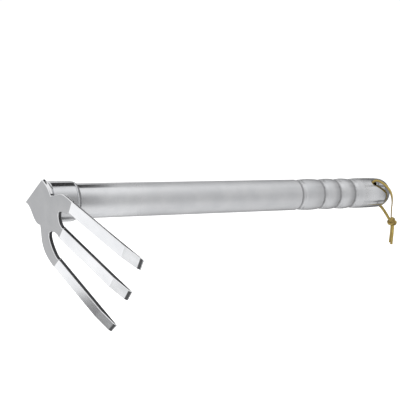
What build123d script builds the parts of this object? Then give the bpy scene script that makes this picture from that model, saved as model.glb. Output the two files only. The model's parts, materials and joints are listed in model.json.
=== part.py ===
"""Three-tine hand cultivator, all stainless steel, with a thong through the domed end of its handle.

Row frame: the origin is the centre of the hand grip, on the handle's axis. +X runs along the
handle towards the domed end and +Z is up. The tool lies rolled about its handle, so that its
row of tines slants, and the thong hangs straight down. All lengths are in millimetres.
"""

import os
from math import cos, pi, radians, sin, sqrt, tan

from build123d import *

# ---- driving dimensions ----------------------------------------------------------------------
handle_radius = 14.0      # drawn tube, 28 mm outside
handle_wall = 1.5
grip_end_radius = 14.3    # the grip swells a little towards its domed end
grip_centre = 280.0       # from the front of the head plate to the origin
weld_line = 346.9         # from the front of the head plate to the end cap's seam
draw_length = 15.0        # the tube is drawn in over this length before the seam
draw_slope = 0.06         # slope of the drawn-in wall at the seam

groove_places = (248.5, 273.7, 292.7, 310.6)   # rolled finger grooves, from the head plate
groove_half_width = 3.2
groove_depth = 0.6
barrel_rise = 0.4         # the tube bulges between the grooves

collar_radius = 16.0
collar_front = 5.0        # from the front of the head plate
collar_end = 25.2
collar_floor = 3.0        # thickness of the collar's closed front
slip_gap = 0.02           # radial, between the collar and the tube
rim_length = 3.3
rim_step = 0.15           # the rim weld stands this much inside the collar's edge

head_roll = 45.0          # the row of tines is rolled this far about the handle
head_rake = 12.0          # the plate leans back towards the handle
plate_thickness = 3.2
weld_radius = 15.7

tine_width = 10.8
bevel_length = 17.0
bevel_depth = 1.6
edge_length = 2.6
edge_thickness = 0.5
ground_edge = 1.4         # the near side's outer back edge is ground off at 45 degrees
ground_overrun = 0.3      # a grinding cut runs this far past the metal that it takes off

hole_place = 335.0        # cross hole for the thong, from the front of the head plate
hole_radius = 3.0

thong_diameter = 2.0
knot_radius = 4.5


def along(distance):
    """Row X of a place measured along the handle from the front of the head plate."""
    return distance - grip_centre


# ---- head plate frame: x across the row of tines, y down the plate, z towards the handle -----
across = Vector(0, -cos(radians(head_roll)), sin(radians(head_roll)))
below = Vector(0, -sin(radians(head_roll)), -cos(radians(head_roll)))
handle_way = Vector(1, 0, 0)
plate_normal = handle_way * cos(radians(head_rake)) - below * sin(radians(head_rake))
plate_front = Plane(origin=(along(0), 0, 0), x_dir=across, z_dir=plate_normal)
plate_back = plate_front.offset(plate_thickness)

# ---- tine plate: one stamping, slotted into three tines that are folded back ------------------
# Each tine: place of its fold across and down the plate, splay, fold angle, length past the fold.
tines = {
    "near": (28.1, 32.4, 7.5, 12.5, 72.3),
    "middle": (0.5, 33.8, 0.0, 15.0, 72.1),
    "far": (-26.1, 41.5, -9.5, 15.0, 67.1),
}
top_corners = ((-17.5, -16.2), (17.3, -7.4))
slot_centre = 12.4        # each slot's rounded end, to either side of the middle tine
slot_radius = 6.5
near_slot_depth = 29.6
far_slot_depth = 28.4


def tine_face(name):
    """Plane of a tine's front face at its fold: x along the fold, y down the tine."""
    fold_across, fold_down, splay, fold, _ = tines[name]
    fold_point = plate_front.from_local_coords((fold_across, fold_down, 0))
    fold_line = plate_front.x_dir.rotate(Axis((0, 0, 0), plate_front.z_dir), -splay)
    normal = plate_front.z_dir.rotate(Axis((0, 0, 0), fold_line), fold)
    return Plane(origin=fold_point, x_dir=fold_line, z_dir=normal)


def fold_ends(name):
    """The two ends of a tine's fold line, in the plate's own x and y."""
    fold_across, fold_down, splay, _, _ = tines[name]
    reach_across = tine_width / 2 * cos(radians(splay))
    reach_down = tine_width / 2 * sin(radians(splay))
    left = (fold_across - reach_across, fold_down + reach_down)
    right = (fold_across + reach_across, fold_down - reach_down)
    return left, right


def ground_off(start, end, outward):
    """The metal that grinding takes off a back edge, from start to end, on its outward side."""
    with BuildPart() as cut:
        with BuildSketch(Plane(origin=start, x_dir=outward, z_dir=end - start)):
            Polygon(
                (-ground_edge - ground_overrun, -ground_overrun),
                (ground_overrun, -ground_overrun),
                (ground_overrun, ground_edge + ground_overrun),
                align=None,
            )
        extrude(amount=(end - start).length + ground_overrun)
    return cut.part


far_outer, far_inner = fold_ends("far")
middle_left, middle_right = fold_ends("middle")
near_inner, near_outer = fold_ends("near")
near_side = ((15.4, 8.4), (21.3, 12.9), (28.0, 18.6), (31.6, 25.6), near_outer)

with BuildPart() as tine_plate:
    with BuildSketch(plate_front):
        with BuildLine():
            Line(*top_corners)
            Spline(top_corners[1], (17.9, 0.5), near_side[0])
            Spline(*near_side)
            Line(near_outer, near_inner)
            Spline(
                near_inner,
                (slot_centre + slot_radius, near_slot_depth),
                (slot_centre, near_slot_depth - slot_radius),
                (slot_centre - slot_radius, near_slot_depth - 1.5),
                middle_right,
            )
            Line(middle_right, middle_left)
            Spline(
                middle_left,
                (slot_radius - slot_centre, far_slot_depth - 1.5),
                (-slot_centre, far_slot_depth - slot_radius),
                (-slot_centre - slot_radius, far_slot_depth),
                far_inner,
            )
            Line(far_inner, far_outer)
            Spline(far_outer, (-32.2, 31.0), (-31.0, 24.6), (-27.4, 18.2), (-22.2, 13.6), (-17.0, 9.0))
            Spline((-17.0, 9.0), (-19.4, 1.0), (-16.2, -9.2), top_corners[0])
        make_face()
    extrude(amount=plate_thickness)
    side_corners = [plate_back.from_local_coords((*corner, 0)) for corner in near_side]
    for upper, lower in zip(side_corners, side_corners[1:]):
        add(ground_off(upper, lower, (lower - upper).cross(plate_back.z_dir)), mode=Mode.SUBTRACT)
    for tine_name, (_, _, _, _, length) in tines.items():
        face = tine_face(tine_name)
        side = Plane(origin=face.origin, x_dir=face.y_dir, z_dir=face.x_dir)
        with BuildSketch(side):
            with BuildLine():
                Polyline(
                    (0, 0),
                    (length - bevel_length, 0),
                    (length - edge_length, bevel_depth),
                    (length, plate_thickness - edge_thickness),
                    (length, plate_thickness),
                    (0, plate_thickness),
                    close=True,
                )
            make_face()
        extrude(amount=tine_width / 2, both=True)
    near_face = tine_face("near")
    tine_corner = near_face.from_local_coords((tine_width / 2, 0, plate_thickness))
    tine_end = tine_corner + near_face.y_dir * tines["near"][4]
    add(ground_off(tine_corner, tine_end, near_face.x_dir), mode=Mode.SUBTRACT)
tine_plate.part.label = "tine_plate"

# ---- socket collar: a turned cup over the front of the tube, notched to the plate's lean ------
with BuildPart() as socket_collar:
    with BuildSketch(Plane.XY):
        with BuildLine():
            Polyline(
                (along(collar_front), 0),
                (along(collar_front), collar_radius - 0.8),
                (along(collar_front) + 0.8, collar_radius),
                (along(collar_end) - 0.4, collar_radius),
                (along(collar_end), collar_radius - 0.4),
                (along(collar_end), handle_radius + slip_gap),
                (along(collar_front + collar_floor), handle_radius + slip_gap),
                (along(collar_front + collar_floor), 0),
                close=True,
            )
        make_face()
    revolve(axis=Axis.X)
    split(bisect_by=plate_back, keep=Keep.TOP)
socket_collar.part.label = "socket_collar"

# ---- head weld: fills the wedge between the leaning plate and the square collar --------------
with BuildPart() as head_weld:
    with BuildSketch(Plane.YZ.offset(along(collar_front))):
        Circle(weld_radius)
    extrude(amount=-2 * collar_front)
    split(bisect_by=plate_back, keep=Keep.TOP)
    corner_left, corner_right = (plate_back.from_local_coords((x, y, 0)) for x, y in top_corners)
    edge_way = (corner_right - corner_left).normalized()
    weld_toe = Plane(
        origin=corner_left,
        x_dir=edge_way,
        z_dir=edge_way.cross(handle_way).normalized().rotate(Axis((0, 0, 0), edge_way), -25),
    )
    split(bisect_by=weld_toe, keep=Keep.BOTTOM)
head_weld.part.label = "head_weld"

# ---- rim weld: a dressed bead that runs the collar down on to the tube -----------------------
with BuildPart() as rim_weld:
    rim_top = collar_radius - rim_step
    with BuildSketch(Plane.XY):
        with BuildLine():
            rim_start = (along(collar_end), handle_radius + slip_gap)
            rim_edge = (along(collar_end), rim_top)
            rim_end = (along(collar_end + rim_length), handle_radius + slip_gap)
            Line(rim_start, rim_edge)
            ThreePointArc(rim_edge, (along(collar_end + 0.62 * rim_length), handle_radius + 1.25), rim_end)
            Line(rim_end, rim_start)
        make_face()
    revolve(axis=Axis.X)
rim_weld.part.label = "rim_weld"


cap_radius = grip_end_radius - draw_length * draw_slope / 2
cap_sphere = cap_radius * sqrt(1 + draw_slope**2)


def handle_profile(inset):
    """Half section of the tube's wall at a depth inside its outer face, from head to cap."""
    radius = handle_radius - inset
    start = (along(collar_front + collar_floor), radius)
    for index, place in enumerate(groove_places):
        groove_in = (along(place - groove_half_width), radius)
        groove_out = (along(place + groove_half_width), radius)
        if index == 0:
            Line(start, groove_in)
        else:
            middle = (start[0] + groove_in[0]) / 2
            ThreePointArc(start, (middle, radius + barrel_rise), groove_in)
        ThreePointArc(groove_in, (along(place), radius - groove_depth), groove_out)
        start = groove_out
    swell_end = (along(hole_place - 14), grip_end_radius - inset)
    Spline(start, swell_end, tangents=((1, 0.08), (1, 0)))
    draw_start = (along(weld_line - draw_length), grip_end_radius - inset)
    Line(swell_end, draw_start)
    Spline(draw_start, (along(weld_line), cap_radius - inset), tangents=((1, 0), (1, -draw_slope)))


# ---- handle tube: drawn tube with rolled finger grooves and a cross hole ----------------------
hole_axis = Plane(origin=(along(hole_place), 0, 0), x_dir=handle_way, z_dir=across)
with BuildPart() as handle_tube:
    with BuildSketch(Plane.XY):
        with BuildLine():
            handle_profile(0)
            handle_profile(handle_wall)
            tube_front = along(collar_front + collar_floor)
            Line((tube_front, handle_radius), (tube_front, handle_radius - handle_wall))
            Line((along(weld_line), cap_radius), (along(weld_line), cap_radius - handle_wall))
        make_face()
    revolve(axis=Axis.X)
    with BuildSketch(hole_axis):
        Circle(hole_radius)
    extrude(amount=2 * handle_radius, both=True, mode=Mode.SUBTRACT)
handle_tube.part.label = "handle_tube"

# ---- end cap: a pressed half sphere, welded to the tube and polished flush --------------------
with BuildPart() as end_cap:
    with BuildSketch(Plane.XY):
        with BuildLine():
            cap_x = along(weld_line)
            cap_centre = cap_x - cap_radius * draw_slope
            cap_inside = cap_sphere - handle_wall
            ThreePointArc(
                (cap_x, cap_radius),
                (cap_centre + cap_sphere * cos(pi / 4), cap_sphere * sin(pi / 4)),
                (cap_centre + cap_sphere, 0),
            )
            Line((cap_centre + cap_sphere, 0), (cap_centre + cap_inside, 0))
            ThreePointArc(
                (cap_centre + cap_inside, 0),
                (cap_centre + cap_inside * cos(pi / 4), cap_inside * sin(pi / 4)),
                (cap_x, cap_radius - handle_wall),
            )
            Line((cap_x, cap_radius - handle_wall), (cap_x, cap_radius))
        make_face()
    revolve(axis=Axis.X)
end_cap.part.label = "end_cap"

# ---- thong: one limp leather cord, threaded through the cross hole and knotted ----------------
# Routes are in the cross hole's own frame: along the handle, out through the hole, and below.
knot_place = (32.6, -20.6, 20.9)
front_route = (
    (0, 0, 0),
    (0.1, 8.0, 0.4),
    (-1.3, 16.3, -1.2),
    (2.8, 18.3, 0.8),
    (8.4, 17.7, 5.0),
    (13.6, 15.0, 10.0),
    (18.6, 9.9, 13.9),
    (22.5, 2.6, 15.6),
    (25.9, -5.0, 16.9),
    (29.0, -12.2, 18.3),
    (32.1, -18.8, 20.2),
)
back_route = (
    (0, 0, 0),
    (-0.1, -8.0, -0.4),
    (-0.4, -16.0, -0.8),
    (4.6, -17.3, -2.6),
    (12.0, -16.8, -3.8),
    (19.2, -15.9, -2.4),
    (25.0, -15.8, 2.8),
    (28.6, -17.4, 10.0),
    (31.6, -19.4, 17.6),
)


def from_hole(point):
    """A row-frame point from a place in the cross hole's frame."""
    x, out, down = point
    return Vector(along(hole_place), 0, 0) + handle_way * x + across * out + below * down


def corner_radii(points):
    """The largest arc that each corner's two runs allow."""
    radii = []
    for before, corner, after in zip(points, points[1:], points[2:]):
        run_in, run_out = corner - before, after - corner
        half_turn = radians(run_in.get_angle(run_out) / 2)
        radii.append(0.45 * min(run_in.length, run_out.length) / tan(half_turn))
    return radii


def make_cord(points, label):
    """A plain round cord of straight runs and tangent arcs along the points."""
    radii = corner_radii(points)
    print(label, "radii", [round(radius, 1) for radius in radii])
    with BuildPart() as cord:
        with BuildLine() as route:
            FilletPolyline(*points, radius=radii)
        with BuildSketch(Plane(origin=points[0], z_dir=points[1] - points[0])):
            Circle(thong_diameter / 2)
        sweep(path=route.wire())
    cord.part.label = label
    length = route.wire().length
    plain_volume = length * pi * thong_diameter**2 / 4
    print(label, "length", round(length, 1), "volume ratio", round(cord.part.volume / plain_volume, 4))
    return cord


thong_front = make_cord([from_hole(point) for point in front_route], "thong_front")
thong_back = make_cord([from_hole(point) for point in back_route], "thong_back")

knot_centre = from_hole(knot_place)
with BuildPart() as thong_knot:
    with Locations(knot_centre):
        Sphere(knot_radius)
thong_knot.part.label = "thong_knot"

# The two cut ends hang side by side below the knot: (offset along X, offset along Y, drop).
tail_routes = {
    "thong_tail_left": ((0.1, 0.8, 2.6), (-0.1, 0.9, 8.6), (-0.3, 1.1, 15.0), (-0.8, 1.3, 22.4)),
    "thong_tail_right": ((1.0, -1.5, 2.6), (0.8, -1.3, 8.4), (0.3, -1.1, 15.0), (0.0, -0.8, 23.4)),
}
tails = []
for tail_label, offsets in tail_routes.items():
    tail_points = [knot_centre + Vector(x, y, -drop) for x, y, drop in offsets]
    tails.append(make_cord(tail_points, tail_label))

# ---- write one STEP file per piece -------------------------------------------------------------
os.makedirs("parts", exist_ok=True)
pieces = [tine_plate, head_weld, socket_collar, rim_weld, handle_tube, end_cap]
pieces += [thong_front, thong_back, thong_knot, *tails]
for piece in pieces:
    export_step(piece.part, f"parts/{piece.part.label}.step")
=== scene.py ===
"""Looks for the three-tine hand cultivator: brushed and polished steel, and a flat leather thong.

Everything is in metres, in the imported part's own frame: the handle runs along +X, +Z is up.
"""

import json
import math

import bpy
from mathutils import Matrix, Vector, noise


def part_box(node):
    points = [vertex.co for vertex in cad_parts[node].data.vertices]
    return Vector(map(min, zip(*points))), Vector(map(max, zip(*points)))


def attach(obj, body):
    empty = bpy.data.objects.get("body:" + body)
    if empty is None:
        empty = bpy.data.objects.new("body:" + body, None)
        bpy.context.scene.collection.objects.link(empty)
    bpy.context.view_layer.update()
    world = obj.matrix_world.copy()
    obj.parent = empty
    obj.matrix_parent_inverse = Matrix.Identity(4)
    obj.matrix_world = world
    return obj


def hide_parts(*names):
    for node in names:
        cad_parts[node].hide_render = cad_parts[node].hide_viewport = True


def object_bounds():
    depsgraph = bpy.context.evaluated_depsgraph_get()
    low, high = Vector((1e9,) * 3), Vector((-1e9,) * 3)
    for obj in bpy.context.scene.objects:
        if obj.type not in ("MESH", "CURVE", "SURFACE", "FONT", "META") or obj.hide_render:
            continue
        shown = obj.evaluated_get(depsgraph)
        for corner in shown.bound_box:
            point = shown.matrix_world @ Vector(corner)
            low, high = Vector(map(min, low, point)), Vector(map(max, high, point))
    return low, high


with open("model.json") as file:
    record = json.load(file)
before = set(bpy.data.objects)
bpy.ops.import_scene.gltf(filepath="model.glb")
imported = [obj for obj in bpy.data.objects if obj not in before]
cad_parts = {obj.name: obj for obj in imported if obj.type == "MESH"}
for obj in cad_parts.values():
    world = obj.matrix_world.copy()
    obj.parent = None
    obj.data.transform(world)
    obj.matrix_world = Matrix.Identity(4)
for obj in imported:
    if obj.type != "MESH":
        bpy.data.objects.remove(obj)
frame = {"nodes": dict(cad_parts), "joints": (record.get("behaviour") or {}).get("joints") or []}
box_low, box_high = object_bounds()
nodes = frame["nodes"]
scene = bpy.context.scene
MM = 0.001

# ---- camera ------------------------------------------------------------------------------------
view_azimuth = math.radians(-31.6)
view_elevation = math.radians(2.8)
view_distance = 0.6712
view_target = Vector((-0.1747, -0.0640, 0.0015))

toward_camera = Vector(
    (
        math.sin(view_azimuth) * math.cos(view_elevation),
        -math.cos(view_azimuth) * math.cos(view_elevation),
        math.sin(view_elevation),
    )
)
camera = bpy.data.objects.new("camera", bpy.data.cameras.new("camera"))
camera.data.lens = 78.3
camera.data.sensor_width = 36.0
camera.data.clip_start = 0.05
camera.data.clip_end = 50.0
camera.location = view_target + toward_camera * view_distance
camera.rotation_mode = "QUATERNION"
camera.rotation_quaternion = (-toward_camera).to_track_quat("-Z", "Y")
scene.collection.objects.link(camera)
scene.camera = camera

# ---- thong: a flat leather lace in two halves, a knot that joins them, and two cut ends ---------
lace_width = 2.7 * MM
lace_thickness = 1.2 * MM
section_points = 16
section_roundness = 0.55
swell_share = 0.04
swell_fineness = 250

hinge = frame["joints"][0]
hole_centre = Vector(hinge["pos_m"])
across = Vector(hinge["axis"]).normalized()
handle_way = Vector((1, 0, 0))
below = handle_way.cross(across)
dome_centre = Vector((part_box("end_cap")[0].x, 0, 0))
knot_low, knot_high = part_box("thong_knot")
knot_centre = (knot_low + knot_high) / 2

# The knot's own directions: to its side, up, and out of its front.
knot_turn = Matrix.Rotation(view_azimuth, 3, "Z")
knot_side = knot_turn @ Vector((1, 0, 0))
knot_front = knot_turn @ Vector((0, -1, 0))
up = Vector((0, 0, 1))

# Routes in the cross hole's frame, in millimetres: along the handle, out through the hole, below.
front_route = [
    (0, 0, 0),
    (0.1, 8.0, 0.4),
    (-1.0, 15.8, -1.2),
    (2.8, 17.9, 0.8),
    (8.4, 17.2, 5.0),
    (13.6, 14.4, 9.8),
    (18.0, 9.3, 13.3),
    (21.6, 2.4, 15.7),
    (24.6, -5.0, 17.1),
    (28.8, -12.2, 18.1),
    (31.6, -18.8, 20.2),
]
back_route = [
    (0, 0, 0),
    (-0.1, -8.0, -0.4),
    (-0.4, -16.0, -0.8),
    (4.6, -17.3, -2.6),
    (12.0, -16.8, -3.8),
    (19.2, -15.9, -2.4),
    (26.2, -15.8, 2.8),
    (29.2, -17.6, 10.0),
    (30.6, -19.4, 17.4),
    (31.8, -20.2, 20.8),
]
# Routes about the knot's centre, in millimetres: to its side, up, and out of its front.
left_tail_route = [
    (0.3, -3.4, 0.0),
    (0.0, -9.0, -0.4),
    (-0.6, -14.4, -0.4),
    (-1.4, -20.8, -0.4),
]
right_tail_route = [
    (1.6, -3.4, 0.6),
    (1.3, -9.0, 0.9),
    (0.8, -14.4, 0.9),
    (0.1, -22.6, 0.7),
]
# The ways that the lace's smooth side looks.
left_tail_facing = (knot_side * -0.95 + knot_front * 0.3).normalized()
right_tail_facing = (knot_front * 0.9 + knot_side * 0.3).normalized()
facing_above_knot = (knot_side + knot_front * 0.32).normalized()
points_above_knot = 4


def hole_point(x, out, down):
    return hole_centre + (handle_way * x + across * out + below * down) * MM


def knot_point(side, height, front):
    return knot_centre + (knot_side * side + up * height + knot_front * front) * MM


def smooth_line(points):
    """The points along a NURBS spline that has these control points."""
    data = bpy.data.curves.new("route", "CURVE")
    data.dimensions = "3D"
    data.resolution_u = 10
    spline = data.splines.new("NURBS")
    spline.points.add(len(points) - 1)
    for place, point in zip(spline.points, points):
        place.co = (*point, 1)
    spline.order_u = 3
    spline.use_endpoint_u = True
    holder = bpy.data.objects.new("route", data)
    mesh = bpy.data.meshes.new_from_object(holder)
    line = [vertex.co.copy() for vertex in mesh.vertices]
    bpy.data.meshes.remove(mesh)
    bpy.data.curves.remove(data)
    return line


def away_from_dome(point):
    """Outward from the handle's axis, or from the dome's centre past the cap's seam."""
    nearest = Vector((min(point.x, dome_centre.x), 0, 0))
    return (point - nearest).normalized()


def section(width, thickness):
    """The lace's rounded outline: pairs of (across it, through it), from its middle."""
    outline = []
    for i in range(section_points):
        turn = 2 * math.pi * (i + 0.5) / section_points
        flat = math.copysign(abs(math.cos(turn)) ** section_roundness, math.cos(turn))
        through = math.copysign(abs(math.sin(turn)) ** section_roundness, math.sin(turn))
        outline.append((flat * width / 2, through * thickness / 2))
    return outline


def tube_faces(rings, closed):
    """The faces between rings of section points, with the last ring joined to the first if closed."""
    faces = []
    for i in range(rings if closed else rings - 1):
        a = i * section_points
        b = (i + 1) % rings * section_points
        for j in range(section_points):
            k = (j + 1) % section_points
            faces.append((a + j, b + j, b + k, a + k))
    return faces


def leather_piece(name, vertices, faces, edge_and_shade_share, flat_faces=0):
    """A mesh with each point's share of the way to a cut edge, which on the knot's core is a share of
    painted shade; its last flat_faces are flat.
    """
    mesh = bpy.data.meshes.new(name)
    mesh.from_pydata(vertices, [], faces)
    smooth = [True] * (len(faces) - flat_faces) + [False] * flat_faces
    mesh.polygons.foreach_set("use_smooth", smooth)
    edge = mesh.attributes.new("cut_edge_and_shade", "FLOAT", "POINT")
    edge.data.foreach_set("value", edge_and_shade_share)
    piece = bpy.data.objects.new(name, mesh)
    scene.collection.objects.link(piece)
    return piece


def finish_leather(piece, node_name):
    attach(piece, "thong")
    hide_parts(node_name)
    return piece


def make_lace(name, points, facings):
    """A lace along the points' spline; each point's facing is the way its smooth side looks."""
    line = smooth_line(points)
    ahead = smooth_line([point + facing * MM for point, facing in zip(points, facings)])
    last = len(line) - 1
    vertices = []
    edge_and_shade_share = []
    for i, (place, marker) in enumerate(zip(line, ahead)):
        way = (line[min(i + 1, last)] - line[max(i - 1, 0)]).normalized()
        face_way = marker - place
        face_way = (face_way - way * face_way.dot(way)).normalized()
        side_way = way.cross(face_way)
        swell = 1 + swell_share * noise.noise(place * swell_fineness)
        for flat, through in section(lace_width * swell, lace_thickness):
            vertices.append(place + side_way * flat + face_way * through)
            edge_and_shade_share.append(min(1.0, abs(flat) / (lace_width / 2)))
    faces = tube_faces(len(line), closed=False)
    faces.append(tuple(range(section_points)))
    faces.append(tuple(range(last * section_points, len(vertices)))[::-1])
    return leather_piece(name, vertices, faces, edge_and_shade_share, flat_faces=2), line


def make_tail(node_name, route, facing):
    points = [knot_point(*p) for p in route]
    tail, _ = make_lace(node_name + "_cut_end", points, [facing] * len(points))
    return finish_leather(tail, node_name)


def make_strand(name, route, node_name, last_facings=()):
    points = [hole_point(*p) for p in route]
    facings = [away_from_dome(p) for p in points]
    facings[0] = facings[1] = facings[2]
    if last_facings:
        facings[-len(last_facings):] = last_facings
    strand, line = make_lace(name, points, facings)
    return finish_leather(strand, node_name)


# The knot: the lace drawn into a tight three-lobed overhand knot round a packed core.
# Its measures are in millimetres: to its side, up, and out of its front.
knot_steps = 150
knot_reach = Vector((1.28, 1.12, 1.60))
knot_lace = (3.0, 2.2)
knot_roll = math.radians(52)
knot_shift = 0.8
core_reach = Vector((3.7, 3.2, 2.2))
core_rings = 16
core_sides = 48
# How far the core takes the cut edges' darker colour: painted shade deep in the knot.
core_painted_shade_share = 0.9


def knot_line(share):
    """A place on the knot's line, which closes on itself as the share goes from 0 to 1."""
    turn = 2 * math.pi * share
    wide = math.sin(turn - knot_roll) + 2 * math.sin(2 * turn + knot_roll)
    high = math.cos(turn - knot_roll) - 2 * math.cos(2 * turn + knot_roll)
    deep = -math.sin(3 * turn)
    return Vector((wide * knot_reach.x + knot_shift, high * knot_reach.y, deep * knot_reach.z))


def knot_rings():
    """The lace's points along the knot's line, and each one's share of the way to a cut edge."""
    vertices = []
    edge_and_shade_share = []
    for i in range(knot_steps):
        place = knot_line(i / knot_steps)
        way = (knot_line((i + 1) / knot_steps) - knot_line((i - 1) / knot_steps)).normalized()
        out = (place - way * place.dot(way)).normalized()
        side = way.cross(out)
        for flat, through in section(*knot_lace):
            vertices.append(knot_point(*(place + side * flat + out * through)))
            edge_and_shade_share.append(min(1.0, abs(flat) / (knot_lace[0] / 2)))
    return vertices, edge_and_shade_share


def core_point(turn, rise):
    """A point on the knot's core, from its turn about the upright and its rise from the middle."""
    side = math.cos(turn) * math.cos(rise) * core_reach.x
    front = math.sin(turn) * math.cos(rise) * core_reach.z
    return knot_point(side + knot_shift, math.sin(rise) * core_reach.y, front)


def add_core(vertices, faces):
    """Adds the knot's packed core, a ball with one point at each pole."""
    bottom = len(vertices)
    vertices.append(core_point(0, -math.pi / 2))
    for j in range(1, core_rings):
        rise = math.pi * (j / core_rings - 0.5)
        vertices.extend(core_point(2 * math.pi * i / core_sides, rise) for i in range(core_sides))
    top = len(vertices)
    vertices.append(core_point(0, math.pi / 2))
    for i in range(core_sides):
        k = (i + 1) % core_sides
        faces.append((bottom, bottom + 1 + i, bottom + 1 + k))
        faces.append((top, top - core_sides + k, top - core_sides + i))
        for a in range(bottom + 1, top - core_sides, core_sides):
            b = a + core_sides
            faces.append((a + i, b + i, b + k, a + k))


def make_knot():
    vertices, edge_and_shade_share = knot_rings()
    faces = tube_faces(knot_steps, closed=True)
    add_core(vertices, faces)
    # The core gets the darker colour of the cut edges as painted shade.
    edge_and_shade_share += [core_painted_shade_share] * (len(vertices) - len(edge_and_shade_share))
    knot = leather_piece("thong_overhand_knot", vertices, faces, edge_and_shade_share)
    return finish_leather(knot, "thong_knot")


left_tail = make_tail("thong_tail_left", left_tail_route, left_tail_facing)
right_tail = make_tail("thong_tail_right", right_tail_route, right_tail_facing)
knot = make_knot()
front_strand = make_strand(
    "thong_front_strand",
    front_route,
    "thong_front",
    [facing_above_knot] * points_above_knot,
)
back_strand = make_strand("thong_back_strand", back_route, "thong_back")
laces = [front_strand, back_strand, knot, left_tail, right_tail]


# ---- materials -----------------------------------------------------------------------------------
class Nodes:
    """A node tree that is written as short steps."""

    def __init__(self, tree):
        self.tree = tree

    def node(self, kind, inputs=(), **settings):
        made = self.tree.nodes.new(kind)
        for key, value in settings.items():
            setattr(made, key, value)
        for key, value in dict(inputs).items():
            self.give(made.inputs[key], value)
        return made

    def give(self, socket, value):
        """Links the value to the socket, or writes it there if it is a plain value."""
        if isinstance(value, bpy.types.NodeSocket):
            self.tree.links.new(value, socket)
        else:
            socket.default_value = value

    def math(self, operation, *values):
        return self.node("ShaderNodeMath", dict(enumerate(values)), operation=operation).outputs[0]

    def ranged(self, value, low, high, to_low, to_high):
        inputs = {
            "Value": value,
            "From Min": low,
            "From Max": high,
            "To Min": to_low,
            "To Max": to_high,
        }
        made = self.node("ShaderNodeMapRange", inputs, interpolation_type="SMOOTHSTEP")
        return made.outputs["Result"]


class Shader(Nodes):
    """A material's nodes."""

    def __init__(self, name):
        self.material = bpy.data.materials.new(name)
        self.material.use_nodes = True
        super().__init__(self.material.node_tree)
        self.surface = self.tree.nodes["Principled BSDF"]

    def place(self, scale=(1, 1, 1)):
        coords = self.node("ShaderNodeTexCoord").outputs["Object"]
        return self.node("ShaderNodeMapping", {"Vector": coords, "Scale": scale}).outputs["Vector"]

    def grain(self, scale, size, detail=3.0):
        inputs = {"Vector": self.place(scale), "Scale": size, "Detail": detail}
        return self.node("ShaderNodeTexNoise", inputs).outputs["Fac"]

    def ramp(self, value, *stops):
        made = self.node("ShaderNodeValToRGB", {"Fac": value})
        for element, (position, colour) in zip(made.color_ramp.elements, stops):
            element.position = position
            element.color = (*colour, 1)
        return made.outputs["Color"]

    def bump(self, height, strength, distance):
        inputs = {"Height": height, "Strength": strength, "Distance": distance}
        return self.node("ShaderNodeBump", inputs).outputs["Normal"]

    def set(self, **sockets):
        for key, value in sockets.items():
            self.give(self.surface.inputs[key.replace("_", " ")], value)


def steel(name, tone, grain_scale, roughness, grain_strength=0.06):
    """Stainless steel: a polishing grain drawn out one way, and a faint cloudiness."""
    made = Shader(name)
    cloud = made.grain((1, 1, 1), 60)
    streak = made.grain(grain_scale, 900, 4)
    dark, light = tone
    mottle = made.math("ADD", cloud, made.math("MULTIPLY", streak, 0.25))
    made.set(Base_Color=made.ramp(mottle, (0.35, dark), (0.85, light)))
    made.set(Metallic=1.0)
    base = roughness(made) if callable(roughness) else roughness
    made.set(Roughness=made.math("ADD", base, made.ranged(streak, 0.3, 0.7, -0.025, 0.035)))
    made.set(Normal=made.bump(streak, grain_strength, 0.04 * MM))
    return made


def tube_polish(made):
    """The tube's roughness: mirror-bright beside the collar and on the end, satin along the grip."""
    along = made.node("ShaderNodeSeparateXYZ", {"Vector": made.place()}).outputs["X"]
    collar_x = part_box("rim_weld")[1].x
    away_from_collar = made.ranged(along, collar_x + 0.020, collar_x + 0.075, 0.12, 0.36)
    near_dome = made.ranged(along, 0.030, 0.062, 0.0, 0.29)
    return made.math("SUBTRACT", away_from_collar, near_dome)


# Tones are a darker and a lighter colour; grains are scales along X, Y and Z.
steel_tone = ((0.66, 0.67, 0.69), (0.76, 0.765, 0.78))
bevel_tone = ((0.54, 0.55, 0.56), (0.70, 0.705, 0.72))
# Near-black steel for the plate's walls: painted shade.
wall_painted_shade_tone = ((0.045, 0.046, 0.048), (0.10, 0.10, 0.105))
# Brighter steel for the near tine's outer wall and the rounded edges: painted highlight.
highlight_painted_tone = ((0.78, 0.785, 0.80), (0.86, 0.865, 0.88))
even_grain = (1, 1, 1)
round_grain = (6, 1, 1)
head_steel = steel("head_steel", steel_tone, (1, 1, 6), 0.07)
bevel_steel = steel("bevel_steel", bevel_tone, (0.6, 4, 4), 0.16, 0.05)
wall_painted_shade_steel = steel("wall_painted_shade_steel", wall_painted_shade_tone, (4, 1, 1), 0.42, 0.2)
highlight_painted_steel = steel("highlight_painted_steel", highlight_painted_tone, even_grain, 0.15)
collar_steel = steel("collar_steel", steel_tone, round_grain, 0.11)
weld_steel = steel("weld_steel", steel_tone, even_grain, 0.24, 0.3)
handle_steel = steel("handle_steel", steel_tone, round_grain, tube_polish, 0.02)
cap_steel = steel("cap_steel", steel_tone, round_grain, 0.08, 0.02)

node_finishes = {
    "head_weld": [weld_steel],
    "rim_weld": [weld_steel],
    "socket_collar": [collar_steel],
    "handle_tube": [handle_steel],
    "end_cap": [cap_steel],
    "tine_plate": [head_steel, bevel_steel, wall_painted_shade_steel, highlight_painted_steel],
}
for node_name, finishes in node_finishes.items():
    nodes[node_name].data.materials.clear()
    for finish in finishes:
        nodes[node_name].data.materials.append(finish.material)

# ---- tine plate: the ground bevels, the cut walls and the rounded edges take different steels, with painted shade on the walls and painted highlight on the near wall and the edges ---
# Its own directions, as it was rolled about the handle and leant back.
head_roll = math.radians(45)
head_rake = math.radians(12)
down_plate = Vector((0, -math.sin(head_roll), -math.cos(head_roll)))
near_way = Vector((0, -math.cos(head_roll), math.sin(head_roll)))
plate_front = down_plate * math.sin(head_rake) - handle_way * math.cos(head_rake)

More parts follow.
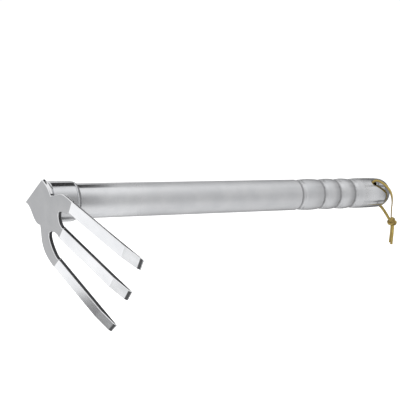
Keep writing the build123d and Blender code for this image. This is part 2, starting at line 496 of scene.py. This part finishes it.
# Degrees away from the plate's front, for the tips' ground bevels and for the walls.
bevel_turn = (17, 30)
wall_turn = (60, 120)
# The near tine's outer wall stands this far to the near side, and more as the tine splays.
near_wall_place = 15.5 * MM
near_wall_splay = 0.12
edge_radius = 0.42 * MM

plate = nodes["tine_plate"]
plate_finishes = node_finishes["tine_plate"]


def turn_from_front(polygon):
    return math.degrees(plate_front.angle(polygon.normal))


def is_wall(polygon):
    return wall_turn[0] < turn_from_front(polygon) < wall_turn[1]


def is_near_wall(polygon):
    """Whether a wall is the near tine's outer one, which gets brighter steel as a painted highlight.
    """
    splay = near_wall_splay * max(0.0, polygon.center.dot(down_plate))
    on_near_side = polygon.center.dot(near_way) > near_wall_place + splay
    return on_near_side and polygon.normal.dot(near_way) > 0.3


def plate_finish(polygon):
    if bevel_turn[0] < turn_from_front(polygon) < bevel_turn[1]:
        return bevel_steel
    # Walls get near-black steel as painted shade; the near tine's outer wall gets brighter steel as
    # painted highlight.
    if is_wall(polygon):
        return highlight_painted_steel if is_near_wall(polygon) else wall_painted_shade_steel
    return head_steel


for polygon in plate.data.polygons:
    polygon.material_index = plate_finishes.index(plate_finish(polygon))
    polygon.use_smooth = is_wall(polygon)
weld_points = plate.modifiers.new("weld_points", "WELD")
weld_points.merge_threshold = 1e-6
flats = plate.modifiers.new("flats", "DECIMATE")
flats.decimate_type = "DISSOLVE"
flats.angle_limit = math.radians(1)
flats.delimit = {"MATERIAL"}
# Rounded edges, given the brighter steel as a painted highlight along them.
rounded_edge_painted_highlight = plate.modifiers.new("rounded_edge_painted_highlight", "BEVEL")
rounded_edge_painted_highlight.width = edge_radius
rounded_edge_painted_highlight.segments = 3
rounded_edge_painted_highlight.limit_method = "ANGLE"
rounded_edge_painted_highlight.angle_limit = math.radians(40)
rounded_edge_painted_highlight.use_clamp_overlap = False
rounded_edge_painted_highlight.material = plate_finishes.index(highlight_painted_steel)

# ---- leather: a waxed golden face with fine pores, darker, fibrous cut edges, and their darker colour as painted shade on the knot's core ---
dark_face = (0.205, 0.146, 0.035)
light_face = (0.325, 0.245, 0.060)
dark_edge_and_shade = (0.11, 0.072, 0.018)
light_edge_and_shade = (0.21, 0.143, 0.038)
leather = Shader("thong_leather")
# Cut edges get the darker colour, and the knot's core gets it too as painted shade.
edge_and_shade_nearness = leather.node("ShaderNodeAttribute", attribute_name="cut_edge_and_shade").outputs["Fac"]
pores = leather.grain(even_grain, 2600, 5)
blotch = leather.grain(even_grain, 260, 3)
face_colour = leather.ramp(blotch, (0.25, dark_face), (0.75, light_face))
edge_and_shade_colour = leather.ramp(pores, (0.3, dark_edge_and_shade), (0.7, light_edge_and_shade))
edge_and_shade_mask = leather.ranged(edge_and_shade_nearness, 0.78, 0.97, 0.0, 1.0)
# In a colour mix, sockets 6 and 7 are the two colours and output 2 is the mixed one.
mix_inputs = {"Factor": edge_and_shade_mask, 6: face_colour, 7: edge_and_shade_colour}
leather.set(Base_Color=leather.node("ShaderNodeMix", mix_inputs, data_type="RGBA").outputs[2])
leather.set(Roughness=leather.ranged(pores, 0.3, 0.7, 0.42, 0.62))
leather.set(Sheen_Weight=0.06, Specular_IOR_Level=0.3)
leather.set(Normal=leather.bump(pores, 0.35, 0.08 * MM))
for lace in laces:
    lace.data.materials.append(leather.material)

# ---- stage: floor, soft lights and the studio that the steel reflects ---------------------------
floor_drop = 0.03
floor_reach = 12.0
floor_z = box_low.z - floor_drop
floor_corners = [
    (x * floor_reach, y * floor_reach, floor_z) for x, y in ((-1, -1), (1, -1), (1, 1), (-1, 1))
]
floor_mesh = bpy.data.meshes.new("floor")
floor_mesh.from_pydata(floor_corners, [], [(0, 1, 2, 3)])
floor = bpy.data.objects.new("floor", floor_mesh)
scene.collection.objects.link(floor)
floor.visible_glossy = False
pale = Shader("pale_floor")
mottle = pale.ramp(pale.grain(even_grain, 3), (0.0, (0.93, 0.93, 0.93)), (1.0, (0.96, 0.96, 0.96)))
pale.set(Base_Color=mottle, Roughness=0.9, Emission_Color=(1, 1, 1, 1), Emission_Strength=0.45)
floor_mesh.materials.append(pale.material)


def soft_light(name, direction, distance, size, power):
    """A square softbox that points at the middle of the object and isn't seen in the steel."""
    data = bpy.data.lights.new(name, "AREA")
    data.size = size
    data.energy = power
    light = bpy.data.objects.new(name, data)
    middle = (box_low + box_high) / 2
    way = Vector(direction).normalized()
    light.location = middle + way * distance
    light.rotation_mode = "QUATERNION"
    light.rotation_quaternion = (-way).to_track_quat("-Z", "Y")
    light.visible_glossy = False
    scene.collection.objects.link(light)


soft_light("key", (-0.5, -0.6, 1.0), 1.6, 1.4, 16)
soft_light("fill", (0.9, -0.7, 0.4), 1.8, 1.4, 7)

world = bpy.data.worlds.new("studio")
scene.world = world
world.use_nodes = True
sky = Nodes(world.node_tree)
sky.tree.nodes.clear()
sky_way = sky.node("ShaderNodeTexCoord").outputs["Generated"]
sky_parts = sky.node("ShaderNodeSeparateXYZ", {"Vector": sky_way}).outputs
behind_limit = 0.2


def angle_from(direction):
    """The angle, in radians, of the studio's every direction from this one."""
    axis = Vector(direction).normalized()
    facing = sky.node("ShaderNodeVectorMath", {0: sky_way, 1: axis}, operation="DOT_PRODUCT")
    return sky.math("ARCCOSINE", facing.outputs["Value"])


def angle_off(angle, middle):
    """How far an angle in radians is from a middle in degrees."""
    return sky.math("ABSOLUTE", sky.math("SUBTRACT", angle, math.radians(middle)))


def cover_within(angle, inner, outer):
    """1 up to the inner angle and 0 from the outer one on, both in degrees, and soft between."""
    return sky.ranged(angle, math.radians(inner), math.radians(outer), 1.0, 0.0)


def shaded(brightness, cover, value):
    """Multiplies the brightness by a value where cover is 1, and leaves it where cover is 0."""
    return sky.math("MULTIPLY", brightness, sky.math("MULTIPLY_ADD", cover, value - 1, 1.0))


def sky_patch(brightness, direction, inner, outer, value):
    """A round patch about a direction, with a soft rim between two angles in degrees."""
    return shaded(brightness, cover_within(angle_from(direction), inner, outer), value)


def sky_ring(brightness, angle, half_width, value):
    """A thin arc at an angle from the handle's direction, on the side that faces -Y."""
    off = angle_off(angle_from(handle_way), angle)
    thin = cover_within(off, half_width * 0.3, half_width)
    side = sky.ranged(sky_parts["Y"], -0.15, 0.00, 1.0, 0.0)
    return shaded(brightness, sky.math("MULTIPLY", thin, side), value)


def sky_band(brightness, x_range, middle, inner, outer, value):
    """A strip along the handle's way, at an angle up from -Y, that fades over the range of X."""
    toward_minus_y = sky.math("MULTIPLY", sky_parts["Y"], -1.0)
    around = sky.math("ARCTAN2", sky_parts["Z"], toward_minus_y)
    strip = cover_within(angle_off(around, middle), inner, outer)
    reach = sky.ranged(sky_parts["X"], *x_range, 1.0, 0.0)
    reach = sky.math("MULTIPLY", reach, sky.math("GREATER_THAN", sky_parts["X"], behind_limit))
    return shaded(brightness, sky.math("MULTIPLY", strip, reach), value)


# Each patch: its direction, the inner and outer angle of its rim, and its brightness.
soft_patches = (
    ((0.60, 0.80, -0.05), 25, 58, 0.60),
    ((0.25, 0.96, -0.05), 6, 24, 0.76),
    ((0.50, -0.86, 0.00), 5, 60, 0.80),
    ((-0.55, 0.82, -0.15), 13, 21, 0.62),
    ((-0.71, 0.45, -0.54), 11, 23, 1.25),
    ((-0.43, 0.18, -0.885), 14, 20, 0.12),
    ((-0.53, 0.56, -0.635), 6.0, 7.3, 0.25),
    ((-0.12, 0.83, -0.54), 10, 24, 0.20),
    ((0.73, -0.36, 0.58), 3, 8, 0.30),
    ((0.98, 0.19, 0.01), 50, 60, 0.78),
    ((0.98, 0.19, 0.01), 42, 49, 0.38),
)
# Each strip: its range of X, its angle, the inner and outer half width, and its brightness.
dark_strips = (
    ((0.415, 0.455), 115, 14, 26, 0.04),
    ((0.40, 0.44), 5, 10, 68, 0.38),
    ((0.385, 0.41), -109, 9, 21, 0.08),
    ((0.385, 0.40), -72, 10, 34, 0.60),
    ((0.355, 0.375), 100, 14, 20, 0.10),
    ((0.70, 0.655), -74, 4, 13, 0.35),
)
brightness = sky.node("ShaderNodeValue").outputs[0]
brightness.default_value = 1.0
for patch in soft_patches:
    brightness = sky_patch(brightness, *patch)
for strip in dark_strips:
    brightness = sky_band(brightness, *strip)
brightness = sky_ring(brightness, 38.2, 4.6, 0.05)
studio = sky.node("ShaderNodeBackground", {"Color": (1, 1, 1, 1), "Strength": brightness})
plain = sky.node("ShaderNodeBackground", {"Color": (1, 1, 1, 1), "Strength": 1.05})
seen = sky.node("ShaderNodeLightPath").outputs["Is Camera Ray"]
mix_inputs = {0: seen, 1: studio.outputs["Background"], 2: plain.outputs["Background"]}
mixed = sky.node("ShaderNodeMixShader", mix_inputs)
sky.node("ShaderNodeOutputWorld", {"Surface": mixed.outputs["Shader"]})

scene.view_settings.view_transform = "Standard"
